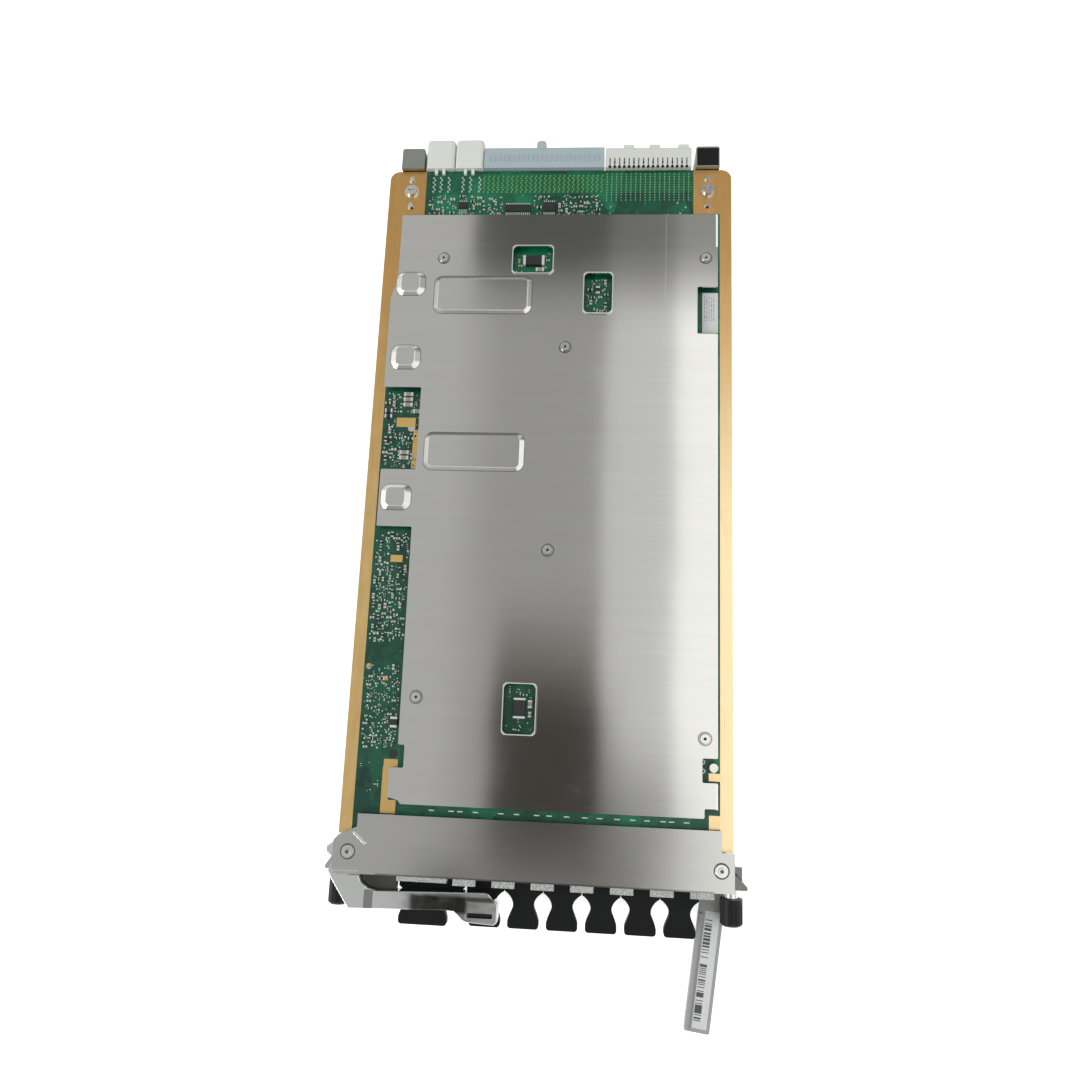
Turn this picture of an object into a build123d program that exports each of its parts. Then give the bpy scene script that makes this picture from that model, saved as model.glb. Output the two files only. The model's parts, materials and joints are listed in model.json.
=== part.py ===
from build123d import *
import math
import os

os.makedirs("parts", exist_ok=True)

# Baseband processing board: a printed board, half a shelf wide, that plugs into a backplane.
# X runs along the front panel, Y from the panel to the backplane, Z up through the cover.
# The origin is under the middle of the whole unit. Sizes are in millimetres.

# Main planes
panel_y = -123.4
board_top = 17.5
sheet = 1.2
gap = 0.3

# Printed board
board_width = 144.4
board_thickness = 2.0
board_front = panel_y + 3.0
board_rear = panel_y + 285.4
board_corner = 4.0
board_notch_width = 10.9
board_notch_depth = 13.6
board_bottom = board_top - board_thickness
board_edge = board_width / 2

# Front panel
panel_overhang = 5.6
panel_half_width = board_edge + panel_overhang
panel_rise = 2.5
panel_top = board_top + panel_rise
panel_bottom = 0.0
flange_depth = 21.1
flange_left = -board_edge - 1.0
flange_right = board_edge
face_left = -board_edge + 9.1
lip_depth = 6.0
bend_radius = 1.8
shoulder_top = board_top - 4.8
shoulder_sheet = 0.8
shoulder_reach = 8.0
shoulder_depth = 13.0
boss_width = 6.6
pivot_x = board_edge - 4.6
pivot_y = panel_y + 7.6
pin_radius = 1.5
running_clearance = 0.05

# Optical ports, hung under the board
port_pitch = 14.25
port_count = 6
first_port_x = -17.33
port_centre_z = board_top - 7.0
cage_height = 9.8
cage_wall = 0.5
cage_length = 48.0
cage_clearance = 0.25
wide_port_x = -40.05
wide_cage_width = 19.6
wide_cage_length = 56.0
plug_depth = 13.0
socket_length = 9.0
port_row_x = first_port_x + port_pitch * (port_count - 1) / 2
small_cage_width = port_pitch * port_count
port_spacing = port_row_x - small_cage_width / 2 - wide_port_x - wide_cage_width / 2 - 0.1

# Dust plugs
plug_collar = 5.4
plug_clearance = 0.25
plug_handle_thickness = 3.2
plug_reach = 17.4
waist_drop = 3.4
tip_drop = 2.6
flange_thickness = 1.2
plug_waist = 7.6
plug_tip = 11.4
wide_plug_reach = 18.0
wide_plug_waist = 13.6
wide_plug_tip = 18.0

# Light pipes
pipe_width = 8.4
pipe_height = 1.8
pipe_reach = 2.6
pipe_centre_z = board_top - 0.2
window_clearance = 0.1

# Left ejector lever
lever_gap = 0.2
lever_plate_bottom = shoulder_top + lever_gap
lever_plate_thickness = 2.2
lever_bar_top = board_top + 0.6
hub_x = -pivot_x
hub_radius = 5.2
hub_top = panel_top - sheet - lever_gap

# Right ejector lever, swung out
swing_x = pivot_x - 1.2
swing_y = panel_y - 6.0
swing_pin_radius = 2.0
right_lever_width = 9.2
right_lever_length = 45.2
right_lever_tilt = 7.2
right_lever_thickness = 2.0
right_lever_bottom = panel_bottom + 1.9
bracket_reach = 11.0

# Captive screws
screw_x = board_edge + 0.4
screw_z = board_top - 9.2
shank_radius = 1.2
thread_radius = 1.5
thread_start = 3.2
collar_radius = 2.45
collar_length = 4.0
knob_radius = 4.1
knob_length = 9.3
screw_travel = 2.4
screw_tip = 9.0
retainer_thickness = 0.8
ring_radius = 2.5
flute_count = 10
flute_radius = 0.55

# Shield cover
cover_gap = 2.7
cover_sheet = 0.8
cover_bottom = board_top + cover_gap
cover_top = cover_bottom + cover_sheet
cover_front = panel_y + 25.2
cover_rear = panel_y + 262.9
cover_left = -board_edge + 7.4
cover_right = board_edge - 6.0
tab_left = -board_edge + 5.0
notch_left = -board_edge + 20.3
front_right = cover_right - 4.8
stud_points = [
    (notch_left + 5.8, panel_y + 243.2),
    (front_right, panel_y + 243.4),
    (5.5, panel_y + 204.4),
    (1.5, panel_y + 121.3),
    (notch_left + 6.1, panel_y + 64.0),
    (front_right + 0.1, panel_y + 53.1),
]
standoff_radius = 2.4
cover_screw_radius = 1.0

# Backplane connectors
connector_rise = 2.0
connector_top = board_top + connector_rise
connector_bottom = board_top - 13.0
connector_seat = panel_y + 272.0
connector_rear = panel_y + 295.1
guide_width = 9.8
guide_x = board_edge - 9.9
guide_bore_radius = 3.4
guide_bore_depth = 12.0
power_width = 12.2
power_rear = panel_y + 299.7
power_x = [-50.7, -38.2]
signal_left = -31.8
signal_right = 19.2
wafer_left = 19.6
wafer_right = 55.6
wafer_count = 18
contact_pitch = 2.0

# Heat sinks and parts of the component side
sink_base = 3.0
sink_top = board_bottom - 3.2
fin_thickness = 1.0
fin_pitch = 3.4
sink_corner = 9.0
sink_screw_radius = 1.5
sink_head_radius = 3.0
sinks = [
    ("rear_heat_sink", -8.0, panel_y + 203.0, 104.0, 74.0),
    ("front_heat_sink", 14.0, panel_y + 106.0, 90.0, 62.0),
]


def front_plane(y):
    """Plane facing the front, with its own x along X and its own y along Z."""
    return Plane(origin=(0, y, 0), x_dir=(1, 0, 0), z_dir=(0, -1, 0))


def finish(piece, name):
    """Label a finished piece and write it."""
    piece.part.label = name
    export_step(piece.part, "parts/" + name + ".step")


# Printed board with rounded rear corners and front corners notched for the lever hubs
board_middle = (board_front + board_rear) / 2
with BuildPart() as printed_board:
    with BuildSketch(Plane.XY.offset(board_bottom)) as board_sketch:
        with Locations((0, board_middle)):
            Rectangle(board_width, board_rear - board_front)
        fillet(board_sketch.vertices().group_by(Axis.Y)[-1], radius=board_corner)
        with Locations((-board_width / 2, panel_y), (board_width / 2, panel_y)):
            Rectangle(2 * board_notch_width, 2 * board_notch_depth, mode=Mode.SUBTRACT)
    extrude(amount=board_thickness)
    with Locations(*[(x, y, board_top) for x, y in stud_points]):
        Hole(radius=cover_screw_radius + running_clearance)
    for name, x, y, width, depth in sinks:
        with Locations((x, y, board_top)):
            with GridLocations(width - sink_corner, depth - sink_corner, 2, 2):
                Hole(radius=sink_screw_radius + running_clearance)
finish(printed_board, "printed_board")

# Front panel: one folded sheet with a top flange, a bottom lip and low shoulders at its ends
lance_length = 6.6
lance_width = 1.3
lance_rise = 0.9
with BuildPart() as front_panel:
    with BuildSketch(Plane.YZ.offset(-panel_half_width)) as fold:
        with BuildLine():
            Polyline(
                (panel_y, panel_bottom),
                (panel_y, panel_top),
                (panel_y + flange_depth, panel_top),
                (panel_y + flange_depth, panel_top - sheet),
                (panel_y + sheet, panel_top - sheet),
                (panel_y + sheet, panel_bottom + sheet),
                (panel_y + lip_depth, panel_bottom + sheet),
                (panel_y + lip_depth, panel_bottom),
                close=True,
            )
        make_face()
        outer = fold.vertices().filter_by(lambda v: v.Y < panel_y + 0.01)
        fillet(outer, radius=bend_radius)
        inner = fold.vertices().filter_by(
            lambda v: abs(v.Y - panel_y - sheet) < 0.01
            and panel_bottom + 0.1 < v.Z < panel_top - 0.1
        )
        fillet(inner, radius=bend_radius - sheet)
    extrude(amount=2 * panel_half_width)
    # The ends are cut down to the shoulders
    upper = panel_top - shoulder_top
    with BuildSketch(front_plane(panel_y - 1)):
        left_end = (-panel_half_width + face_left) / 2
        with Locations((left_end, shoulder_top + upper)):
            Rectangle(face_left + panel_half_width, 2 * upper)
        right_end = (panel_half_width + flange_right) / 2
        with Locations((right_end, shoulder_top + upper)):
            Rectangle(panel_half_width - flange_right, 2 * upper)
    extrude(amount=-sheet - 1, mode=Mode.SUBTRACT)
    # The flange keeps its outline
    with BuildSketch(Plane.XY.offset(shoulder_top)):
        with Locations((0, panel_y + flange_depth)):
            Rectangle(2 * panel_half_width, 2 * flange_depth - 2 * sheet)
        with BuildLine():
            Polyline(
                (flange_left, panel_y + sheet),
                (flange_right, panel_y + sheet),
                (flange_right, panel_y + board_notch_depth),
                (pivot_x + 0.1, panel_y + board_notch_depth),
                (pivot_x + 0.1, panel_y + flange_depth),
                (flange_left + 8.4, panel_y + flange_depth),
                (flange_left + 8.4, panel_y + 16.4),
                (flange_left + 1.8, panel_y + 13.4),
                (flange_left, panel_y + 11.4),
                close=True,
            )
        make_face(mode=Mode.SUBTRACT)
    extrude(amount=panel_top - shoulder_top + 1, mode=Mode.SUBTRACT)
    # Low shoulders with pointed ears, which stand proud of the flange ends
    with BuildSketch(Plane.XY.offset(shoulder_top - shoulder_sheet)):
        with BuildLine():
            Polyline(
                (-pivot_x + boss_width, panel_y + sheet / 2),
                (-pivot_x + boss_width, panel_y + shoulder_depth),
                (-pivot_x - 2.4, panel_y + shoulder_depth),
                (flange_left, panel_y + shoulder_reach),
                (-panel_half_width, panel_y + sheet),
                (-panel_half_width, panel_y + sheet / 2),
                close=True,
            )
        make_face()
        with BuildLine():
            Polyline(
                (pivot_x - boss_width, panel_y + sheet / 2),
                (panel_half_width, panel_y + sheet / 2),
                (panel_half_width, panel_y + sheet),
                (flange_right + 0.3, panel_y + shoulder_reach - 2.0),
                (pivot_x + 2.4, panel_y + shoulder_depth),
                (pivot_x - boss_width, panel_y + shoulder_depth),
                close=True,
            )
        make_face()
    extrude(amount=shoulder_sheet)
    # Openings for the port cages, the light pipes and the captive screws
    with BuildSketch(front_plane(panel_y - 1)):
        with Locations((port_row_x, port_centre_z)):
            Rectangle(small_cage_width + 2 * cage_clearance, cage_height + 2 * cage_clearance)
        with Locations((wide_port_x, port_centre_z)):
            Rectangle(wide_cage_width + 2 * cage_clearance, cage_height + 2 * cage_clearance)
        with Locations((wide_port_x, pipe_centre_z)):
            Rectangle(wide_cage_width - 1 + 2 * window_clearance, pipe_height + 2 * window_clearance)
        for place in range(port_count + 1):
            with Locations((first_port_x + (place - 0.5) * port_pitch, pipe_centre_z)):
                Rectangle(pipe_width + 2 * window_clearance, pipe_height + 2 * window_clearance)
        with Locations((-screw_x, screw_z), (screw_x, screw_z)):
            Circle(collar_radius - 0.5)
    extrude(amount=-sheet - 1.5, mode=Mode.SUBTRACT)
    # Bracket under the right lever
    with BuildSketch(Plane.XY.offset(panel_bottom)) as bracket:
        with BuildLine():
            Polyline(
                (swing_x - right_lever_width / 2, panel_y + sheet),
                (swing_x + right_lever_width / 2, panel_y + sheet),
                (swing_x + right_lever_width / 2, panel_y - bracket_reach),
                (swing_x - right_lever_width / 2, panel_y - bracket_reach),
                close=True,
            )
        make_face()
        fillet(bracket.vertices().group_by(Axis.Y)[0], radius=3)
    extrude(amount=sheet)
    with Locations((swing_x, swing_y, panel_bottom + sheet)):
        Hole(radius=swing_pin_radius, depth=2 * sheet)
    with Locations((-pivot_x, pivot_y, panel_top), (pivot_x, pivot_y, panel_top)):
        Hole(radius=pin_radius, depth=panel_top - shoulder_top + 2 * shoulder_sheet)
    # Lanced bridge beside the left pivot
    lance_plane = Plane(
        origin=(hub_x + 4.3, panel_y + 12.6, panel_top), x_dir=(0.77, -0.64, 0), z_dir=(0, 0, 1)
    )
    with BuildSketch(lance_plane):
        SlotOverall(lance_length, lance_width)
    extrude(amount=lance_rise)
    lance_edges = front_panel.edges().group_by(Axis.Z)[-1]
    fillet(lance_edges, radius=0.4)
finish(front_panel, "front_panel")

# Shield cover: a stamped plate with embossed pads, rimmed windows and a folded front lip
cover_points = [
    (cover_left, cover_rear),
    (cover_left, panel_y + 232.5),
    (tab_left, panel_y + 226.0),
    (tab_left, panel_y + 186.6),
    (notch_left, panel_y + 186.6),
    (notch_left, panel_y + 152.3),
    (tab_left + 1.3, panel_y + 152.3),
    (tab_left + 1.3, panel_y + 129.2),
    (notch_left, panel_y + 129.2),
    (notch_left + 0.5, panel_y + 46.4),
    (notch_left + 3.0, panel_y + 46.4),
    (notch_left + 3.0, panel_y + 38.1),
    (notch_left - 2.3, panel_y + 38.1),
    (notch_left - 2.3, panel_y + 27.6),
    (notch_left + 1.9, panel_y + 26.4),
    (notch_left + 2.7, cover_front),
    (front_right, cover_front),
    (front_right, panel_y + 28.6),
    (cover_right, panel_y + 28.6),
    (cover_right, panel_y + 37.6),
    (cover_right - 5.6, panel_y + 37.6),
    (cover_right - 5.6, panel_y + 46.2),
    (cover_right, panel_y + 46.2),
    (cover_right, panel_y + 210.6),
    (cover_right - 8.1, panel_y + 210.6),
    (cover_right - 8.1, panel_y + 230.8),
    (cover_right, panel_y + 230.8),
    (cover_right, cover_rear),
]
corner_radius = 1.2
windows = [
    (-9.0, panel_y + 242.6, 16.4, 12.0),
    (18.1, panel_y + 227.9, 11.4, 17.4),
    (-6.8, panel_y + 61.1, 12.0, 18.4),
]
window_radius = 2.0
rim_width = 0.7
rim_height = 0.4
pads = [
    (tab_left + 8.1, panel_y + 231.6, 12.2, 10.4, 7.4, 7.2, 1.3),
    (tab_left + 8.1, panel_y + 199.4, 12.2, 10.4, 7.4, 7.2, 1.3),
    (tab_left + 8.2, panel_y + 140.9, 12.2, 10.4, 7.4, 7.0, 1.3),
    (notch_left + 22.9, panel_y + 226.8, 40.4, 16.6, 36.6, 13.4, 0.6),
    (notch_left + 22.8, panel_y + 160.0, 40.0, 15.6, 36.2, 12.4, 0.6),
]
side_tabs = [
    (panel_y + 32.4, 8.0),
    (panel_y + 165.6, 28.0),
    (panel_y + 255.0, 14.0),
]
tab_sheet = 0.6
lip_drop = 2.4
pad_corner = 3.4
pad_top_corner = 1.6
pad_crease = 0.5
dimple_radius = 2.7
dimple_width = 0.4
dimple_depth = 0.2


def raised_pad(x, y, width, depth, top_width, top_depth, height, floor):
    """Rounded pad lofted up from a floor level."""
    with BuildPart() as pad:
        with BuildSketch(Plane.XY.offset(floor)):
            with Locations((x, y)):
                RectangleRounded(width, depth, pad_corner)
        with BuildSketch(Plane.XY.offset(floor + height)):
            with Locations((x, y)):
                RectangleRounded(top_width, top_depth, pad_top_corner)
        loft()
        fillet(pad.edges().group_by(Axis.Z)[-1], radius=pad_crease)
    return pad.part


with BuildPart() as shield_cover:
    with BuildSketch(Plane.XY.offset(cover_bottom)) as cover_sketch:
        with BuildLine():
            Polyline(*cover_points, close=True)
        make_face()
        fillet(cover_sketch.vertices(), radius=corner_radius / 2)
        for x, y, width, depth in windows:
            with Locations((x, y)):
                RectangleRounded(width, depth, window_radius, mode=Mode.SUBTRACT)
    extrude(amount=cover_sheet)
    with BuildSketch(Plane.XY.offset(cover_top)):
        for x, y, width, depth in windows:
            with Locations((x, y)):
                RectangleRounded(width + 2 * rim_width, depth + 2 * rim_width, window_radius + rim_width)
                RectangleRounded(width, depth, window_radius, mode=Mode.SUBTRACT)
    extrude(amount=rim_height)
    for x, y, width, depth, top_width, top_depth, height in pads:
        add(raised_pad(x, y, width, depth, top_width, top_depth, height, cover_top))
    for x, y, width, depth, top_width, top_depth, height in pads:
        hollow = (width - cover_sheet, depth - cover_sheet, top_width - cover_sheet, top_depth - cover_sheet)
        add(raised_pad(x, y, *hollow, height, cover_bottom), mode=Mode.SUBTRACT)
    # Front lip and right-hand tabs, folded down towards the board
    with BuildSketch(Plane.XY.offset(cover_top - lip_drop)):
        with Locations(((notch_left + 2.7 + front_right) / 2, cover_front + cover_sheet / 2)):
            Rectangle(front_right - notch_left - 6.7, cover_sheet)
    extrude(amount=lip_drop)
    with BuildSketch(Plane.XY.offset(board_top + gap)):
        for y, length in side_tabs:
            with Locations((cover_right - tab_sheet / 2, y)):
                Rectangle(tab_sheet, length)
    extrude(amount=cover_gap + cover_sheet - gap)
    # Ring pressed round each screw
    with BuildSketch(Plane.XY.offset(cover_top)):
        with Locations(*stud_points):
            Circle(dimple_radius)
            Circle(dimple_radius - dimple_width, mode=Mode.SUBTRACT)
    extrude(amount=-dimple_depth, mode=Mode.SUBTRACT)
    with Locations(*[(x, y, cover_top) for x, y in stud_points]):
        Hole(radius=cover_screw_radius + running_clearance, depth=2 * cover_sheet)
finish(shield_cover, "shield_cover")

# Standoffs between board and cover, and the screws that hold the cover to them
with BuildPart() as cover_standoffs:
    with BuildSketch(Plane.XY.offset(board_top)):
        with Locations(*stud_points):
            RegularPolygon(radius=standoff_radius, side_count=6)
            Circle(cover_screw_radius + running_clearance, mode=Mode.SUBTRACT)
    extrude(amount=cover_gap)
finish(cover_standoffs, "cover_standoffs")

with BuildPart() as cover_screws:
    with BuildSketch(Plane.XY.offset(board_bottom)):
        with Locations(*stud_points):
            Circle(cover_screw_radius)
    extrude(amount=cover_top - board_bottom)
    with BuildSketch(Plane.XY.offset(cover_top)):
        with Locations(*stud_points):
            Circle(2 * cover_screw_radius)
    extrude(amount=0.7, taper=20)
    with BuildSketch(Plane.XY.offset(cover_top + 0.7)):
        with Locations(*stud_points):
            RegularPolygon(radius=0.7, side_count=6)
    extrude(amount=-0.5, mode=Mode.SUBTRACT)
finish(cover_screws, "cover_screws")

# Left ejector lever, closed: a flat plate with a claw and hub, and a raised polished bar
recess_x = hub_x + 49.4
recess_y = panel_y - 12.5
recess_length = 9.2
recess_width = 1.7
bar_front = panel_y - 12.3
bar_back = panel_y - 5.8
web_right = wide_port_x - wide_cage_width / 2 + cage_wall - plug_clearance
with BuildPart() as left_ejector_lever:
    with BuildSketch(Plane.XY.offset(lever_plate_bottom)) as plate:
        with BuildLine():
            Polyline(
                (hub_x + 5.0, panel_y + 10.0),
                (hub_x + 1.8, panel_y + 13.2),
                (hub_x - 3.4, panel_y + 12.6),
                (hub_x - 9.4, panel_y + 8.3),
                (hub_x - 9.2, panel_y + 6.4),
                (hub_x - 6.6, panel_y + 4.4),
                (hub_x - 8.2, panel_y - 0.3),
                (hub_x - 1.0, panel_y - 11.4),
                (hub_x + 0.6, bar_front),
                (web_right, bar_front),
                (web_right, panel_y - 0.7),
                (face_left - 0.6, panel_y - 0.7),
                (face_left - 0.6, panel_y + 4.0),
                close=True,
            )
        make_face()
        round_corners = plate.vertices().sort_by(Axis.X)[0:3]
        fillet(round_corners, radius=0.8)
    extrude(amount=lever_plate_thickness)
    with BuildSketch(Plane.XY.offset(lever_plate_bottom + lever_plate_thickness)):
        with Locations((-pivot_x, pivot_y)):
            Circle(hub_radius)
    extrude(amount=hub_top - lever_plate_bottom - lever_plate_thickness)
    with BuildSketch(Plane.XY.offset(lever_plate_bottom)) as bar:
        with BuildLine():
            Polyline(
                (hub_x - 0.4, panel_y - 10.5),
                (hub_x + 1.0, bar_front),
                (hub_x + 36.9, panel_y - 11.2),
                (hub_x + 40.0, panel_y - 11.4),
                (hub_x + 43.0, panel_y - 14.2),
                (hub_x + 44.6, panel_y - 14.9),
                (hub_x + 54.6, panel_y - 15.4),
                (hub_x + 55.8, panel_y - 14.4),
                (hub_x + 55.8, panel_y - 8.2),
                (hub_x + 52.4, panel_y - 4.9),
                (hub_x + 50.8, panel_y - 4.5),
                (hub_x + 11.6, bar_back),
                (hub_x + 8.0, panel_y - 5.2),
                (hub_x + 5.2, panel_y - 3.0),
                (hub_x + 4.2, panel_y - 0.7),
                (hub_x - 7.3, panel_y - 0.7),
                close=True,
            )
        make_face()
        fillet(bar.vertices(), radius=0.5)
    extrude(amount=lever_bar_top - lever_plate_bottom)
    polished_edges = left_ejector_lever.edges().filter_by(
        lambda e: abs(e.center().Z - lever_bar_top) < 0.01 and e.center().Y < panel_y - 0.9
    )
    fillet(polished_edges, radius=0.4)
    # Shallow band across the bar and the finger recess in its grip
    with BuildSketch(Plane.XY.offset(lever_bar_top)):
        with Locations((hub_x + 8.4, panel_y - 8)):
            Rectangle(3.2, 12)
        with Locations((recess_x, recess_y)):
            RectangleRounded(recess_length + 1.2, recess_width + 1.0, 0.8)
    extrude(amount=-0.35, mode=Mode.SUBTRACT)
    with BuildSketch(Plane.XY.offset(lever_bar_top)):
        with Locations((recess_x, recess_y)):
            RectangleRounded(recess_length, recess_width, 0.5)
    extrude(amount=-2, mode=Mode.SUBTRACT)
    with Locations((-pivot_x, pivot_y, hub_top)):
        Hole(radius=pin_radius + running_clearance)
finish(left_ejector_lever, "left_ejector_lever")


def pivot_pin(x):
    """Headed pin from the top flange down to the shoulder."""
    with BuildPart() as pin:
        with BuildSketch(Plane.XY.offset(shoulder_top - shoulder_sheet)):
            with Locations((x, pivot_y)):
                Circle(pin_radius)
        extrude(amount=panel_top - shoulder_top + shoulder_sheet)
        with BuildSketch(Plane.XY.offset(panel_top)):
            with Locations((x, pivot_y)):
                Circle(2.5)
        extrude(amount=0.5, taper=30)
        with BuildSketch(Plane.XY.offset(panel_top + 0.5)):
            with Locations((x, pivot_y)):
                Circle(1.3)
        extrude(amount=0.5, taper=15)
    return pin


finish(pivot_pin(-pivot_x), "left_lever_pin")
finish(pivot_pin(pivot_x), "right_flange_pin")

# Spacer under the right end of the flange, where the left end has its lever hub
with BuildPart() as flange_spacer:
    with BuildSketch(Plane.XY.offset(shoulder_top)):
        with Locations((pivot_x, pivot_y)):
            Circle(hub_radius - 1)
            Circle(pin_radius + running_clearance, mode=Mode.SUBTRACT)
    extrude(amount=panel_top - sheet - shoulder_top)
finish(flange_spacer, "flange_spacer")

# Right ejector lever, swung out from its low bracket
lever_frame = Plane(
    origin=(swing_x, swing_y, right_lever_bottom),
    x_dir=(math.cos(math.radians(right_lever_tilt)), -math.sin(math.radians(right_lever_tilt)), 0),
    z_dir=(0, 0, 1),
)
rail_height = 1.0
rail_width = 1.6
with BuildPart() as right_ejector_lever:
    with BuildSketch(lever_frame) as swing_sketch:
        Circle(right_lever_width / 2)
        with Locations((0, -right_lever_length / 2)):
            Rectangle(right_lever_width, right_lever_length)
        tip = swing_sketch.vertices().group_by(Axis.Y)[0]
        fillet(tip, radius=0.8)
    extrude(amount=right_lever_thickness)
    with BuildSketch(lever_frame.offset(right_lever_thickness)):
        with Locations((-right_lever_width / 2 + rail_width / 2, -right_lever_length / 2 - 2)):
            Rectangle(rail_width, right_lever_length - 5)
    extrude(amount=rail_height)
    rail_edges = right_ejector_lever.edges().group_by(Axis.Z)[-1]
    fillet(rail_edges, radius=0.45)
    with Locations(lever_frame):
        with Locations((0, 0, right_lever_thickness - 0.5)):
            Cylinder(
                radius=swing_pin_radius + running_clearance,
                height=right_lever_thickness,
                align=(Align.CENTER, Align.CENTER, Align.MAX),
                mode=Mode.SUBTRACT,
            )
finish(right_ejector_lever, "right_ejector_lever")

with BuildPart() as right_lever_pin:
    with BuildSketch(Plane.XY.offset(panel_bottom)):
        with Locations((swing_x, swing_y)):
            Circle(swing_pin_radius)
    extrude(amount=right_lever_bottom + right_lever_thickness - 0.5 - 0.2 - panel_bottom)
finish(right_lever_pin, "right_lever_pin")


def captive_screw(x, side):
    """Collar fixed in the panel, spring screw with a fluted knob, and its retaining ring."""
    with BuildPart() as collar:
        with BuildSketch(front_plane(panel_y)):
            with Locations((x, screw_z)):
                Circle(collar_radius)
                Circle(thread_radius + 2 * running_clearance, mode=Mode.SUBTRACT)
        extrude(amount=collar_length)
        with BuildSketch(front_plane(panel_y)):
            with Locations((x, screw_z)):
                Circle(collar_radius - 0.5)
                Circle(thread_radius + 2 * running_clearance, mode=Mode.SUBTRACT)
        extrude(amount=-sheet)
    finish(collar, side + "_screw_collar")
    knob_back = panel_y - collar_length + 0.4
    with BuildPart() as screw:
        with BuildSketch(front_plane(knob_back)):
            with Locations((x, screw_z)):
                Circle(knob_radius)
        extrude(amount=knob_length)
        knob_end = screw.edges().group_by(Axis.Y)[0]
        chamfer(knob_end, length=0.8)
        with BuildSketch(front_plane(knob_back - 1.5)):
            with Locations((x, screw_z)):
                with PolarLocations(knob_radius + 0.25, flute_count):
                    Circle(flute_radius)
        extrude(amount=knob_length, mode=Mode.SUBTRACT)
        with BuildSketch(front_plane(knob_back)):
            with Locations((x, screw_z)):
                Circle(collar_radius + gap)
        extrude(amount=screw_travel + 0.4 + gap, mode=Mode.SUBTRACT)
        # Slim shank through the collar and ring, then the wider thread
        with BuildSketch(front_plane(panel_y + thread_start)):
            with Locations((x, screw_z)):
                Circle(shank_radius)
        extrude(amount=thread_start + collar_length + screw_travel + 1.0)
        with BuildSketch(front_plane(panel_y + screw_tip)):
            with Locations((x, screw_z)):
                Circle(thread_radius)
        extrude(amount=screw_tip - thread_start)
        tip_edge = screw.edges().group_by(Axis.Y)[-1]
        chamfer(tip_edge, length=0.5)
        with BuildSketch(front_plane(knob_back - knob_length)):
            with Locations((x, screw_z)):
                Rectangle(5.0, 1.0)
        extrude(amount=-1.0, mode=Mode.SUBTRACT)
    finish(screw, side + "_captive_screw")
    with BuildPart() as ring:
        with BuildSketch(front_plane(panel_y + sheet + gap)):
            with Locations((x, screw_z)):
                Circle(ring_radius)
                Circle(shank_radius + running_clearance, mode=Mode.SUBTRACT)
        extrude(amount=-retainer_thickness)
    finish(ring, side + "_screw_ring")


captive_screw(-screw_x, "left")
captive_screw(screw_x, "right")


def cage(name, centre_x, width, length, bays):
    """Folded sheet cage, open at the front, with a wall between neighbouring bays."""
    with BuildPart() as shell:
        with BuildSketch(front_plane(panel_y - 0.2)):
            with Locations((centre_x, port_centre_z)):
                Rectangle(width, cage_height)
        extrude(amount=-length)
        bay_width = (width - (bays + 1) * cage_wall) / bays
        with BuildSketch(front_plane(panel_y - 0.2)):
            for bay in range(bays):
                bay_x = centre_x + (bay - (bays - 1) / 2) * (bay_width + cage_wall)
                with Locations((bay_x, port_centre_z)):
                    Rectangle(bay_width, cage_height - 2 * cage_wall)
        extrude(amount=-(length - cage_wall), mode=Mode.SUBTRACT)
    finish(shell, name)


cage("small_port_cage", port_row_x, small_cage_width, cage_length, port_count)
cage("wide_port_cage", wide_port_x, wide_cage_width, wide_cage_length, 1)


def port_sockets(name, centres, width, length):
    """Edge sockets at the back of the cage, each with the slot that takes a module's card."""
    back = panel_y - 0.2 + length - cage_wall
    with BuildPart() as sockets:
        with BuildSketch(front_plane(back)):
            for centre in centres:
                with Locations((centre, board_bottom - 0.6 - cage_wall - 3.4)):
                    Rectangle(width, 6.4)
        extrude(amount=socket_length)
        with BuildSketch(front_plane(back - socket_length)):
            for centre in centres:
                with Locations((centre, board_bottom - 0.6 - cage_wall - 3.4)):
                    Rectangle(width - 2, 1.4)
        extrude(amount=-5, mode=Mode.SUBTRACT)
    finish(sockets, name)


small_centres = [first_port_x + place * port_pitch for place in range(port_count)]
port_sockets("small_port_sockets", small_centres, 11.0, cage_length)
port_sockets("wide_port_socket", [wide_port_x], 16.4, wide_cage_length)


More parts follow.
